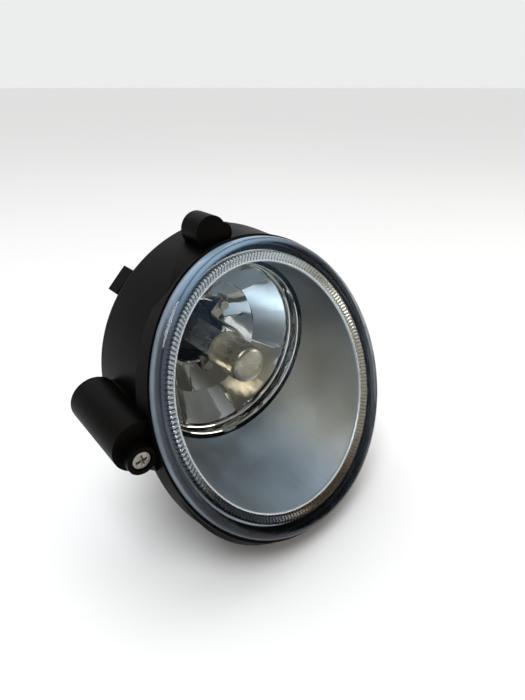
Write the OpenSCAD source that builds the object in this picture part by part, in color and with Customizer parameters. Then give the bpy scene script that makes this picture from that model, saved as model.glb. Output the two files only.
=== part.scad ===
// Round front fog light with a raked lens and an aimable reflector.
// The lamp axis runs along Y with the front towards -Y, and +Z is up.
// The origin is where the lamp axis meets the plane of the lens seat.

/* [Lens and rim] */
// Backward lean of the lens plane, in degrees
lens_rake = 23.5; // [0:0.5:26]
// Sideways turn of the lens plane, in degrees
lens_sweep = 8.5; // [0:0.5:10]
// Radius of the housing's front rim
rim_r = 46.6; // [46.5:0.1:48]
// Radius of the lens
lens_r = 45.8; // [45.7:0.1:46.2]
// Wall thickness of the lens
lens_wall = 2; // [1.6:0.1:2.2]
// Height of the lens dome above its seat
lens_rise = 10.2; // [9.6:0.2:14]

/* [Bezel] */
// Radius of the bezel's mouth behind the lens
mouth_r = 38.2; // [37.6:0.1:38.4]
// Radius of the bezel's opening round the reflector
throat_r = 32.9; // [32.7:0.1:33.4]
// Distance of that opening behind the origin
throat_y = 27; // [25:0.5:27]
// Wall thickness of the bezel
bezel_wall = 1.3; // [1:0.1:1.5]

/* [Reflector] */
// Radius of the reflector's front lip
lip_r = 31.8; // [31:0.1:31.9]
// Focal length of the paraboloid
focal_length = 12; // [11.5:0.1:12.5]
// Radius of the hole for the bulb
bulb_hole_r = 12; // [11:0.5:12.5]

/* [Housing] */
// Radius of the drum at its rear rim
drum_r = 43.8; // [43.6:0.1:44.6]
// Distance of the drum's rear rim behind the origin
drum_y = 37; // [37:0.5:39]
// Wall thickness of the housing
wall = 2.5; // [2:0.1:2.8]
// Radius of the adjuster tower
tower_r = 7.1; // [7:0.1:7.6]
// Radius of the mounting bosses
boss_r = 5; // [4.8:0.1:6]

/* [Aiming] */
// Radius of the adjuster screw's shank
screw_r = 1.75; // [1.5:0.05:1.8]
// Distance of the adjuster's ball from the tilt axis
lever = 44.5; // [44.3:0.1:44.7]

/* [Bulb] */
// Radius of the bulb's glass
glass_r = 5; // [4.5:0.1:5]
// Radius of the bulb base's barrel
barrel_r = 10.1; // [9.8:0.1:10.1]
// Height of the plug socket's shroud
shroud_h = 16; // [15:0.5:18]

/* [Hidden] */
$fn = 96;
eps = 0.05;
fit = 0.05;

// Lens seat: the rim's lip, the adhesive channel and the bezel's ledge
rim_depth = 5;
lip_h = 0.8;
lens_skirt = 1.2;
channel_in = 43.6;
channel_out = 45.6;
channel_depth = 2.6;
tongue_depth = 1.6;
tongue_play = 0.3;
seat_r = 42.2;
ledge_r = 40.8;
ledge_y = 1.6;
ledge_t = 1.5;

// Lens dome
shoulder_r = 43;
shoulder_y = 4.6;

// Fluted ring on the bezel's flange
flute_in = mouth_r;
flute_out = 40.7;
flute_base = 41.4;
flute_rise = 2;
flute_land = 0.6;
flange_r = 42;
flange_y = 0.2;

// Bezel's bowl
bowl_bulge = 0.3;
bowl_rings = 6;
bowl_sides = 72;

// Drum and rear dome: the drum is a little off the lamp axis
drum_offset = [1, 0, 1];
drum_front_y = -30;
drum_front_r = drum_r + 3.8;
drum_flare = 27;
dome_y = 56;
dome_r = 17;
neck_r = 15.5;
neck_y = 64;
neck_bore_r = 12.2;
neck_front_y = 53.5;
bayonet_lip_y = 61;

// Reflector
lip_y = 27.6;
lip_wall = 1;
step_r = 30;
step_y = 34;
shell_t = 1.8;
vertex_y = step_y + step_r * step_r / (4 * focal_length);
hole_y = vertex_y - bulb_hole_r * bulb_hole_r / (4 * focal_length);
focus_y = vertex_y - focal_length;

// Tilt pivots above and below the reflector
pivot_y = 31.5;
pin_r = 1.5;
bush_r = 2.6;
ear_w = 8;
ear_top = 36.6;
ear_floor = 32.9;
post_r = 3.8;
post_in = 37.6;
pin_in = 33.6;
pin_out = 40.4;

// Adjuster tower, screw, nut and ball
tower = [-49, 0, 1.4];
tower_front = -3;
tower_rear = 25;
cavity_r = 5.4;
cavity_front = 1;
cavity_rear = 23.2;
screw_axis = [-50, 0, -0.6];
nose_r = 3.9;
nose_y = -6.6;
head_r = 2.5;
head_y = -6.5;
head_h = 1.5;
seat_y = -4.9;
seal_pocket_y = -3.7;
seal_pocket_r = 2.35;
clip_r = 3;
clip_y = 1.2;
clip_t = 0.6;
nut_r = 5.1;
nut_y = 11.5;
nut_l = 9;
ball_r = 2.2;
ball = [-lever, nut_y + nut_l / 2, tower[2]];
finger_r = 1.3;
arm_t = 1.4;
arm_x = -39.2;
arm_w = 8;
arm_front = 2.5;
arm_rear = 33;
pad_front = 29.7;
rivet_y = 31.4;
pocket_floor = -47.5;

// Mounting bosses: the top one shows, the other two are round the back
boss_rear = 27;
bosses = [[-10.9, 18.6, 45], [43.2, 7, -16.8], [-17.6, -8, -43]];
boss_floors = [20.5, 19, 17.5];
relief_r = 2.4;
rib_r = 3.2;
rib_at = [-6.9, 0, 44.2];
insert_r = 3;
insert_bore_r = 2;
insert_l = 6;

// Breather on the rear dome
vent = [17, 0, -22];
vent_r = 2.6;
vent_front = 43;
vent_rear = 56;
vent_bore_r = 1.2;
vent_cap_r = 4.2;
vent_cap_y = 52.2;

// Bulb
seat_plane_y = 65.8;
glass_wall = 0.7;
glass_tip_y = 21.6;
glass_rear_y = 56;
ferrule_r = 7.6;
ferrule_y = 50.5;
lug_r = 11.8;
lug_w = 5;
lug_y = 58.4;
lug_t = 2.2;
lug_angles = [90, 210, 330];
unlock_turn = 40;
base_flange_r = 14.5;
base_flange_t = 2.2;
base_body_r = 11;
base_rear_y = 80;
gasket_in = 11.4;
gasket_out = 13.6;
socket_tip_x = 30;
socket_depth = 12;
socket_front_y = 69;
socket_rear_y = 79;
socket_wall = 1.5;
blade_z = 3.1;
blade_w = 2.8;
blade_t = 0.8;
blade_tip_x = 25.6;

// Bulb shield
cup_r = 6.6;
cup_wall = 0.6;
cup_front = 15;
cup_rear = 30.5;
foot_t = 0.9;
foot_out = 15.5;
foot_y = vertex_y - foot_out * foot_out / (4 * focal_length) - foot_t - fit;
leg_angles = [-80, 40];
leg_w = 4.6;
leg_t = 0.7;
rivet_r = 1;
rivet_head_r = 1.8;
rivet_at = 13.9;

// Points children's Z axis to the rear
module along_rear() {
    rotate([-90, 0, 0]) children();
}

// Carries children into the lens frame, whose -Y is the lens's outward normal
module raked() {
    rotate([-lens_rake, 0, lens_sweep]) children();
}

// Round bar along Y from y0 to y1
module bar(r, y0, y1, at = [0, 0, 0]) {
    translate([at[0], y0, at[2]]) along_rear() cylinder(r = r, h = y1 - y0);
}

// Tube along Y from y0 to y1
module tube(r_out, r_in, y0, y1, at = [0, 0, 0]) {
    difference() {
        bar(r_out, y0, y1, at);
        bar(r_in, y0 - 1, y1 + 1, at);
    }
}

// Solid of revolution about Y from a list of [radius, y] points
module turned(points) {
    along_rear() rotate_extrude() polygon(points);
}

// Turns children about the lamp axis by an angle seen from the front
module round_axis(angle) {
    rotate([0, -angle, 0]) children();
}

// ---- housing ----

// Drum and rear dome as one solid of revolution, drawn in by an inset
module shell_solid(inset) {
    translate(drum_offset) turned([
        [0, drum_front_y - 1], [drum_front_r - inset, drum_front_y - 1],
        [drum_r - inset, drum_y - 2.4], [drum_r - 0.6 - inset, drum_y - 1 - inset * 0.2],
        [drum_r - 2 - inset, drum_y - inset * 0.4], [34 - inset, 44 - inset * 0.8],
        [dome_r, dome_y - inset], [0, dome_y - inset]
    ]);
}

// Cone in the lens frame that trims the drum to the raked rim
module rim_cone(front_r, front_y, depth) {
    raked() turned([
        [0, front_y], [front_r, front_y],
        [front_r + (depth - front_y) * tan(drum_flare), depth], [0, depth]
    ]);
}

module shell() {
    difference() {
        intersection() {
            shell_solid(0);
            rim_cone(rim_r - 0.4, 0, 90);
        }
        intersection() {
            shell_solid(wall);
            rim_cone(seat_r, -1, 91);
        }
        raked() tube(channel_out, channel_in, -1, channel_depth);
    }
}

module rim() {
    raked() difference() {
        bar(rim_r, -lip_h, rim_depth);
        bar(lens_r + 0.2, -lip_h - 1, 0);
        tube(channel_out, channel_in, -1, channel_depth);
        bar(seat_r, -2, rim_depth + 1);
    }
}

module bezel_ledge() {
    raked() tube(seat_r + 1, ledge_r, ledge_y, ledge_y + ledge_t);
}

module boss(p) {
    bar(boss_r, p[1], boss_rear, p);
}

// Round rib that carries the top boss's side down to the drum
module top_boss_rib() {
    bar(rib_r, bosses[0][1] + 0.3, boss_rear - 0.6, rib_at);
}

module pivot_post(side) {
    z0 = side > 0 ? post_in : -41.9;
    z1 = side > 0 ? 43.6 : -post_in;
    translate([0, pivot_y, z0]) cylinder(r = post_r, h = z1 - z0);
}

module tower_outside() {
    bar(tower_r, tower_front, tower_rear, tower);
    bar(nose_r, nose_y, tower_front + 1, screw_axis);
    // web that ties the tower to the drum
    translate([-45, tower_front + 1, tower[2] - 5]) cube([3.6, tower_rear - tower_front - 2, 10]);
}

module tower_inside() {
    bar(cavity_r, cavity_front, cavity_rear, tower);
    bar(screw_r + fit, seal_pocket_y - 1, cavity_front + 1, screw_axis);
    bar(seal_pocket_r, seat_y - eps, seal_pocket_y, screw_axis);
    bar(head_r + 0.25, nose_y - 1, seat_y, screw_axis);
    // window through the drum wall for the ball's finger
    translate([-46, ball[1] - 5.3, ball[2] - 2.8]) cube([8, 10.6, 5.6]);
}

module bayonet_notches() {
    for (a = lug_angles) {
        round_axis(a + unlock_turn)
            translate([0, bayonet_lip_y - 1, -lug_w / 2 - 0.4])
                cube([lug_r + 0.4, neck_y - bayonet_lip_y + 2, lug_w + 0.8]);
    }
}

module rear_tab() {
    round_axis(136) translate([36, 38.7, -4.4]) cube([5.9, 5.8, 8.8]);
}

module locating_rib() {
    raked() round_axis(-176) translate([45.9, 1.4, -1.1]) cube([1.9, 3, 2.2]);
}

module housing() {
    color("#151517") difference() {
        union() {
            rim();
            shell();
            bezel_ledge();
            top_boss_rib();
            for (p = bosses) boss(p);
            tower_outside();
            bar(neck_r, neck_front_y, neck_y);
            for (side = [1, -1]) pivot_post(side);
            bar(vent_r, vent_front, vent_rear, vent);
            rear_tab();
            locating_rib();
        }
        for (i = [0:2]) bar(insert_r, boss_floors[i], boss_rear + 1, bosses[i]);
        // grooves in the drum that let a screwdriver reach the bosses
        for (p = bosses) bar(relief_r, boss_rear, dome_y, p);
        tower_inside();
        bar(neck_bore_r, neck_front_y - 1, bayonet_lip_y);
        bar(barrel_r + 0.3, bayonet_lip_y - 1, neck_y + 1);
        bayonet_notches();
        bar(vent_bore_r, vent_front - 1, vent_rear + 1, vent);
        translate([0, pivot_y, -pin_out]) cylinder(r = pin_r, h = 2 * pin_out);
    }
}

module mount_inserts() {
    color("#b08d4a") for (p = bosses) tube(insert_r, insert_bore_r, boss_rear - insert_l, boss_rear, p);
}

module breather_cap() {
    color("#202022") difference() {
        bar(vent_cap_r, vent_cap_y, vent_rear + 1.6, vent);
        bar(vent_r, vent_cap_y - 1, vent_rear, vent);
        bar(vent_bore_r, vent_rear - 1, vent_rear + 0.8, vent);
        for (a = [0:90:270]) {
            translate([vent[0], 0, vent[2]]) round_axis(a)
                translate([vent_r - 0.2, vent_cap_y - 1, -0.5]) cube([0.8, 3, 1]);
        }
    }
}

// ---- lens and bezel ----

// Height of the lens's outer face above the seat, inside the shoulder
function dome_h(r) = lens_rise - (lens_rise - shoulder_y) * pow(r / shoulder_r, 2);

module lens() {
    steps = 10;
    outer = [for (i = [0:steps]) let (r = shoulder_r * i / steps) [r, -dome_h(r)]];
    inner_r = shoulder_r - lens_wall;
    inner = [for (i = [steps:-1:0]) let (r = inner_r * i / steps) [r, lens_wall - dome_h(r)]];
    color("#c8d8e8", 0.35) raked() turned(concat(outer, [
        [44.6, -3.7], [45.6, -2.5], [lens_r, -lens_skirt], [lens_r, 0],
        [channel_out - tongue_play, 0], [channel_out - tongue_play, tongue_depth],
        [channel_in + tongue_play, tongue_depth], [channel_in + tongue_play, -1],
        [43.2, -1.8], [42.3, -2.3]
    ], inner));
}

module lens_adhesive() {
    color("#3a3a3c") raked() tube(channel_out, channel_in, tongue_depth, channel_depth);
}

// A point of the bezel's bowl: angle round it, depth from 0 at the mouth to 1
// at the throat, and distance outside the inner face
function raked_point(r, angle, y) =
    let (x = r * cos(angle), z = r * sin(angle),
         y1 = y * cos(lens_rake) + z * sin(lens_rake), z1 = z * cos(lens_rake) - y * sin(lens_rake))
    [x * cos(lens_sweep) - y1 * sin(lens_sweep), x * sin(lens_sweep) + y1 * cos(lens_sweep), z1];
function bowl_point(angle, depth, out) =
    let (mouth = raked_point(mouth_r + out, angle, flange_y),
         throat = [(throat_r + out) * cos(angle), throat_y, (throat_r + out) * sin(angle)],
         bulge = bowl_bulge * sin(180 * depth))
    mouth * (1 - depth) + throat * depth + bulge * [cos(angle), 0, sin(angle)];

// Cross-section of the bezel at one angle: bowl inside, bowl outside, flange
function bezel_section(angle) = concat(
    [for (j = [0:bowl_rings]) bowl_point(angle, j / bowl_rings, 0)],
    [for (j = [bowl_rings:-1:1]) bowl_point(angle, j / bowl_rings, bezel_wall)],
    [raked_point(mouth_r + bezel_wall, angle, ledge_y),
     raked_point(flange_r, angle, ledge_y),
     raked_point(flange_r, angle, flange_y)]
);

module bezel() {
    n = bowl_sides;
    k = len(bezel_section(0));
    points = [for (i = [0:n - 1]) each bezel_section(360 * i / n)];
    faces = [for (i = [0:n - 1]) for (j = [0:k - 1]) each
        let (a = i * k + j, b = i * k + (j + 1) % k,
             c = ((i + 1) % n) * k + (j + 1) % k, d = ((i + 1) % n) * k + j)
        [[a, b, c], [a, c, d]]];
    color("#9a9c9e") polyhedron(points, faces);
}

module fluted_ring() {
    color("#b8b4a6") raked() turned([
        [flute_in, flange_y], [flute_in, flange_y - flute_land], [flute_out, -flute_rise],
        [flute_base, -flute_rise + 0.3], [flute_base, flange_y]
    ]);
}

// ---- reflector body ----

function bowl_y(r) = vertex_y - r * r / (4 * focal_length);

module reflector_shell() {
    steps = 12;
    inner = [for (i = [0:steps])
        let (r = bulb_hole_r + (step_r - bulb_hole_r) * i / steps) [r, bowl_y(r)]];
    outer = [for (i = [steps:-1:0])
        let (r = bulb_hole_r + (step_r - bulb_hole_r) * i / steps) [r + 0.6, bowl_y(r) + shell_t]];
    turned(concat(inner, [
        [lip_r - lip_wall, lip_y], [lip_r, lip_y], [lip_r, step_y + 0.5]
    ], outer, [[bulb_hole_r, bowl_y(bulb_hole_r) + shell_t]]));
}

module pivot_ear(side) {
    z0 = side > 0 ? lip_r - 0.6 : -ear_top;
    z1 = side > 0 ? ear_top : 0.6 - lip_r;
    translate([-ear_w / 2, pivot_y - 3.6, z0]) cube([ear_w, 7.2, z1 - z0]);
}

module arm_pad() {
    translate([arm_x + arm_t, pad_front, ball[2] - arm_w / 2])
        cube([-arm_x - arm_t - 30.6, arm_rear - pad_front, arm_w]);
}

module reflector() {
    color("#d4d6d8") difference() {
        union() {
            reflector_shell();
            difference() {
                union() {
                    for (side = [1, -1]) pivot_ear(side);
                    arm_pad();
                }
                bar(lip_r - lip_wall / 2, pivot_y - 6, pivot_y + 8);
            }
        }
        for (side = [1, -1]) {
            translate([0, pivot_y, side > 0 ? ear_floor : -ear_top - 1])
                cylinder(r = bush_r, h = ear_top + 1 - ear_floor);
        }
        for (dz = [-2.2, 2.2]) arm_rivet_bar(1, -33.4, dz);
        for (a = leg_angles) rivet_bar(a, rivet_r, hole_y - 8, hole_y + 8);
    }
}

module pivot_bushes() {
    color("#e4e0d4") for (side = [1, -1]) {
        z0 = side > 0 ? ear_floor : -ear_top;
        difference() {
            translate([0, pivot_y, z0]) cylinder(r = bush_r, h = ear_top - ear_floor);
            translate([0, pivot_y, z0 - 1]) cylinder(r = pin_r + fit, h = ear_top - ear_floor + 2);
        }
    }
}

module pivot_pins() {
    color("#8e9094") for (side = [1, -1]) {
        translate([0, pivot_y, side > 0 ? pin_in : -pin_out]) cylinder(r = pin_r, h = pin_out - pin_in);
    }
}

// ---- adjuster ----

// Rivet along X through the arm and its pad, from the arm's outside to x1
module arm_rivet_bar(r, x1, dz) {
    translate([arm_x, rivet_y, ball[2] + dz]) rotate([0, 90, 0]) cylinder(r = r, h = x1 - arm_x);
}

module adjuster_arm() {
    color("#8a8c90") {
        difference() {
            translate([arm_x, ball[1] - arm_front, ball[2] - arm_w / 2])
                cube([arm_t, arm_rear - ball[1] + arm_front, arm_w]);
            for (dz = [-2.2, 2.2]) arm_rivet_bar(1, arm_x + arm_t + 1, dz);
        }
        translate([ball[0], ball[1], ball[2]]) rotate([0, 90, 0])
            cylinder(r = finger_r, h = arm_x - ball[0] + arm_t / 2);
        translate(ball) sphere(r = ball_r);
    }
}

module arm_rivets() {
    color("#b4b6b8") for (dz = [-2.2, 2.2]) {
        arm_rivet_bar(1, -33.4, dz);
    }
}

module adjuster_screw() {
    slot_w = 0.7;
    color("#9a9890") difference() {
        union() {
            bar(head_r, head_y, head_y + head_h, screw_axis);
            bar(screw_r, head_y, cavity_rear - 1, screw_axis);
        }
        for (a = [45, 135]) {
            translate(screw_axis) round_axis(a)
                translate([-head_r * 0.7, head_y - 1, -slot_w / 2]) cube([head_r * 1.4, 2, slot_w]);
        }
        tube(screw_r + 1, screw_r - 0.35, clip_y, clip_y + clip_t, screw_axis);
    }
}

module adjuster_seal() {
    color("#1c1c1e") tube(seal_pocket_r - fit, screw_r, seat_y + 0.1, seal_pocket_y - 0.1, screw_axis);
}

module adjuster_clip() {
    color("#a8a8ac") tube(clip_r, screw_r - 0.35, clip_y, clip_y + clip_t, screw_axis);
}

module adjuster_nut() {
    color("#ece8dc") difference() {
        bar(nut_r, nut_y, nut_y + nut_l, tower);
        bar(screw_r + fit, nut_y - 1, nut_y + nut_l + 1, screw_axis);
        translate([pocket_floor, ball[1], ball[2]]) rotate([0, 90, 0])
            cylinder(r = ball_r + fit, h = 6);
    }
}

// ---- bulb shield ----

module rivet_bar(angle, r, y0, y1) {
    round_axis(angle) bar(r, y0, y1, [rivet_at, 0, 0]);
}

module shield_leg(angle) {
    // the leg leaves the cup's skirt, runs back and turns out onto its foot
    round_axis(angle) {
        translate([cup_r - cup_wall, cup_rear - 4, -leg_w / 2])
            cube([leg_t + 1.6, 4, leg_w]);
        translate([cup_r + 1, cup_rear - 4, -leg_w / 2])
            cube([leg_t, foot_y + foot_t - cup_rear + 4, leg_w]);
        translate([cup_r + 1, foot_y, -leg_w / 2])
            cube([foot_out - cup_r - 1, foot_t, leg_w]);
    }
}

module bulb_shield() {
    color("#8c8472") difference() {
        union() {
            turned([
                [0, cup_front], [cup_r - 2.4, cup_front + 0.5], [cup_r - 0.8, cup_front + 1.8],
                [cup_r, cup_front + 4], [cup_r, cup_rear], [cup_r - cup_wall, cup_rear],
                [cup_r - cup_wall, cup_front + 4.2], [cup_r - 1.3, cup_front + 2.4],
                [cup_r - 2.7, cup_front + 1.2], [0, cup_front + 0.7]
            ]);
            for (a = leg_angles) shield_leg(a);
        }
        bar(cup_r - cup_wall, cup_front + 5, cup_rear + 1);
        for (a = leg_angles) rivet_bar(a, rivet_r, foot_y - 1, foot_y + foot_t + 1);
    }
}

module shield_rivets() {
    color("#a49c88") for (a = leg_angles) {
        rivet_bar(a, rivet_r, foot_y - 0.6, bowl_y(rivet_at) + shell_t + 0.6);
        rivet_bar(a, rivet_head_r, foot_y - 1.2, foot_y);
    }
}

// ---- bulb ----

module bulb_glass() {
    tip_c = glass_tip_y + glass_r;
    inner_r = glass_r - glass_wall;
    color("#dde6ee", 0.4) along_rear() rotate_extrude() difference() {
        union() {
            translate([0, tip_c]) square([glass_r, glass_rear_y - tip_c]);
            intersection() {
                translate([0, tip_c]) circle(r = glass_r);
                translate([0, tip_c - glass_r]) square([glass_r, glass_r]);
            }
        }
        translate([0, tip_c]) square([inner_r, 47 - tip_c]);
        intersection() {
            translate([0, tip_c]) circle(r = inner_r);
            translate([0, tip_c - inner_r]) square([inner_r, inner_r]);
        }
    }
}

module bulb_filament() {
    color("#c8c8c8") {
        bar(0.6, focus_y - 2.4, focus_y + 2.4);
        for (x = [-1.8, 1.8]) bar(0.35, x < 0 ? focus_y - 3 : focus_y + 1, 47, [x, 0, 0]);
        for (s = [-1, 1]) {
            translate([s < 0 ? -1.8 : 0, focus_y + s * 2, 0]) rotate([0, 90, 0])
                cylinder(r = 0.35, h = 1.8);
        }
    }
}

module bulb_base() {
    color("#1d1d20") difference() {
        union() {
            bar(ferrule_r, ferrule_y, lug_y);
            bar(barrel_r, lug_y - 2, seat_plane_y + 1);
            for (a = lug_angles) {
                round_axis(a) translate([barrel_r - 1, lug_y, -lug_w / 2])
                    intersection() {
                        cube([3, lug_t, lug_w]);
                        translate([1 - barrel_r, 0, lug_w / 2]) bar(lug_r, 0, lug_t);
                    }
            }
            bar(base_flange_r, seat_plane_y, seat_plane_y + base_flange_t);
            bar(base_body_r, seat_plane_y, base_rear_y);
            translate([0, socket_front_y, -shroud_h / 2])
                cube([socket_tip_x, socket_rear_y - socket_front_y, shroud_h]);
        }
        bar(glass_r, ferrule_y - 1, glass_rear_y);
        translate([socket_tip_x - socket_depth, socket_front_y + socket_wall, socket_wall - shroud_h / 2])
            cube([socket_depth + 1, socket_rear_y - socket_front_y - 2 * socket_wall, shroud_h - 2 * socket_wall]);
        for (s = [-1, 1]) blade(s);
    }
}

module blade(side) {
    y = (socket_front_y + socket_rear_y) / 2;
    x0 = socket_tip_x - socket_depth - 4;
    translate([x0, y - blade_t / 2, side * blade_z - blade_w / 2])
        cube([blade_tip_x - x0, blade_t, blade_w]);
}

module bulb_terminals() {
    color("#c9b98a") for (s = [-1, 1]) blade(s);
}

module bulb_gasket() {
    color("#a03c28") tube(gasket_out, gasket_in, neck_y + 0.1, seat_plane_y);
}

housing();
mount_inserts();
breather_cap();
lens();
lens_adhesive();
bezel();
fluted_ring();
reflector();
pivot_bushes();
pivot_pins();
adjuster_arm();
adjuster_screw();
adjuster_seal();
adjuster_clip();
adjuster_nut();
bulb_shield();
shield_rivets();
bulb_glass();
bulb_filament();
bulb_base();
bulb_gasket();
bulb_terminals();
arm_rivets();
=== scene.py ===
"""Looks of a round front fog light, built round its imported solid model.

Lengths inside the classes are in millimetres. The lamp axis runs along Y with the
front towards -Y, and the lens frame leans back and turns aside from it.
"""

import logging
from collections.abc import Callable, Sequence
from dataclasses import dataclass
from enum import Enum
from functools import cached_property
from math import atan2, cos, degrees, pi, radians, sin, tau
from typing import Any

import bmesh
import bpy
from mathutils import Matrix, Vector


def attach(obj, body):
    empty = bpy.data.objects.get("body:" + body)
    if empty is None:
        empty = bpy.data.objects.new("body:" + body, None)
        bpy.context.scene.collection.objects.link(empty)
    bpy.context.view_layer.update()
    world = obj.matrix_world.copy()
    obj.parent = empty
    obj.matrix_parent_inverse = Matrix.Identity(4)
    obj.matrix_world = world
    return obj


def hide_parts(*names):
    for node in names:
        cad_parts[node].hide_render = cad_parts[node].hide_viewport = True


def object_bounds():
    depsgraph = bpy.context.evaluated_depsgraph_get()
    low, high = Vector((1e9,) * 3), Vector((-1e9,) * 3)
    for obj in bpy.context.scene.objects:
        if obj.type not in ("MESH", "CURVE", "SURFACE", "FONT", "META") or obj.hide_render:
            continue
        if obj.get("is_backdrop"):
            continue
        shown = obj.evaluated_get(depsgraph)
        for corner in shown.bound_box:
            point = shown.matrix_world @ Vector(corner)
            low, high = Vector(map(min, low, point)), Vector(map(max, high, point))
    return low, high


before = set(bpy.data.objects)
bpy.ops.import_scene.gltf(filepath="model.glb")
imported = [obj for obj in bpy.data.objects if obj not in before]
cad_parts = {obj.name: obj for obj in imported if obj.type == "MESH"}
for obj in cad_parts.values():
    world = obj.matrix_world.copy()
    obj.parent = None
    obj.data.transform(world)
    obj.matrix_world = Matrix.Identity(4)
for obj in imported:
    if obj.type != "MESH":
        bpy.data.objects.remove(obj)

MM = 0.001
LOG = logging.getLogger("fog_light")

Triple = tuple[float, float, float]
Colour = Triple
Section = list[Any]
Piece = bpy.types.Object
Material = bpy.types.Material


# ---- shader maths ----


class Sock:
    """A shader value that Python's operators work on, each adding its Math node."""

    def __init__(self, graph: "Graph", socket: bpy.types.NodeSocket) -> None:
        """Keeps the socket and the graph that new nodes go into."""
        self.graph = graph
        self.socket = socket

    def maths(self, operation: str, *values: "Sock | float") -> "Sock":
        """Adds one Math node with its inputs in order."""
        return self.graph.node("ShaderNodeMath", {"operation": operation}, dict(enumerate(values)))

    def __add__(self, other: "Sock | float") -> "Sock":
        """Sum."""
        return self.maths("ADD", self, other)

    __radd__ = __add__

    def __sub__(self, other: "Sock | float") -> "Sock":
        """Difference."""
        return self.maths("SUBTRACT", self, other)

    def __rsub__(self, other: float) -> "Sock":
        """Difference with a number on the left."""
        return self.maths("SUBTRACT", other, self)

    def __mul__(self, other: "Sock | float") -> "Sock":
        """Product."""
        return self.maths("MULTIPLY", self, other)

    __rmul__ = __mul__

    def __truediv__(self, other: "Sock | float") -> "Sock":
        """Quotient."""
        return self.maths("DIVIDE", self, other)

    def __pow__(self, other: float) -> "Sock":
        """Power."""
        return self.maths("POWER", self, other)

    def between(self, low: float, high: float) -> "Sock":
        """Rises smoothly from 0 at low to 1 at high, or falls if high is the smaller."""
        settings = {"interpolation_type": "SMOOTHSTEP"}
        return self.graph.node("ShaderNodeMapRange", settings, {0: self, 1: low, 2: high})


class Graph:
    """A node tree that is filled with one general method."""

    def __init__(self, tree: bpy.types.NodeTree) -> None:
        """Keeps the tree."""
        self.tree = tree

    def node(
        self,
        kind: str,
        settings: dict[str, Any] | None = None,
        inputs: dict[int | str, Any] | None = None,
        out: int | str = 0,
    ) -> Sock:
        """Adds one node of any type.

        Args:
            kind: The node's type.
            settings: Its own properties, set first.
            inputs: Values or links for its input sockets.
            out: The output socket that is handed back.

        Returns:
            That output.
        """
        made = self.tree.nodes.new(kind)
        for key, value in (settings or {}).items():
            setattr(made, key, value)
        for key, value in (inputs or {}).items():
            if isinstance(value, Sock):
                self.tree.links.new(value.socket, made.inputs[key])
            else:
                socket = made.inputs[key]
                socket.default_value = (*value, 1.0) if socket.type == "RGBA" else value
        return Sock(self, made.outputs[out])

    @cached_property
    def point(self) -> Sock:
        """The point on the piece in its own frame, in metres."""
        return self.node("ShaderNodeTexCoord", out="Object")

    def part(self, vector: Sock, axis: int) -> Sock:
        """One coordinate of a vector."""
        return self.node("ShaderNodeSeparateXYZ", inputs={0: vector}, out=axis)

    def polar(self) -> tuple[Sock, Sock, Sock]:
        """The point's cosine, sine and radius in millimetres, round the Y axis."""
        x, z = self.part(self.point, 0), self.part(self.point, 2)
        radius = (x * x + z * z) ** 0.5
        return x / radius, z / radius, radius / MM

    def noise(self, size: float, detail: float = 2.0, stretch: Triple = (1.0, 1.0, 1.0)) -> Sock:
        """Cloudy noise on the piece.

        Args:
            size: How many millimetres its features are across.
            detail: How many finer layers it has.
            stretch: A factor on each coordinate; a small one draws features out.

        Returns:
            The noise, from 0 to 1.
        """
        place = {0: self.point, 1: stretch}
        vector = self.node("ShaderNodeVectorMath", {"operation": "MULTIPLY"}, place)
        inputs = {"Vector": vector, "Scale": 1 / (size * MM), "Detail": detail}
        return self.node("ShaderNodeTexNoise", inputs=inputs)

    def mix(self, factor: Sock | float, first: Any, second: Any) -> Sock:
        """Blends two colours, from the first at 0 to the second at 1."""
        inputs = {0: factor, 6: first, 7: second}
        return self.node("ShaderNodeMix", {"data_type": "RGBA"}, inputs, out=2)

    def layers(self, tone: Any, *coats: tuple[Sock | float, Colour]) -> Sock:
        """Lays colours over a first one, each through its mask."""
        for mask, colour in coats:
            tone = self.mix(mask, tone, colour)
        return tone

    def sheet(self, tint: Colour, gloss: Sock, face_on: float, veil: Sock) -> Sock:
        """A clear sheet that mirrors at low angles.

        Args:
            tint: The colour of what is seen through it.
            gloss: The shader of what it mirrors.
            face_on: The share mirrored where it faces the light.
            veil: A share that is added everywhere.

        Returns:
            The mixed shader.
        """
        facing = self.node("ShaderNodeLayerWeight", inputs={"Blend": 0.5}, out="Facing")
        share = facing**5.0 * (1.0 - face_on) + face_on + veil
        clear = self.node("ShaderNodeBsdfTransparent", inputs={0: tint})
        factor = share.maths("MINIMUM", share, 1.0)
        return self.node("ShaderNodeMixShader", inputs={0: factor, 1: clear, 2: gloss})

    def bump(self, height: Sock, depth: float) -> Sock:
        """A normal from a height of 0 to 1 that stands for depth millimetres."""
        return self.node(
            "ShaderNodeBump", inputs={"Strength": 1.0, "Distance": depth * MM, "Height": height}
        )

    def principled(self, **inputs: Any) -> Sock:
        """The main surface shader; underscores in names stand for spaces."""
        named = {key.replace("_", " "): value for key, value in inputs.items()}
        return self.node("ShaderNodeBsdfPrincipled", inputs=named)


# ---- finishes ----


class Grain(Enum):
    """The fine structure of a surface: the stretch of its noise, its size and its detail."""

    MOULDED = ((1.0, 1.0, 1.0), 1.0, 3.0)
    BLASTED = ((1.0, 1.0, 1.0), 1.0, 4.0)
    BRUSHED = ((1.0, 0.06, 1.0), 1.0, 2.0)
    TURNED = ((0.08, 1.0, 0.08), 1.0, 2.0)
    POLISHED = ((1.0, 1.0, 1.0), 16.0, 1.0)


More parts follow.
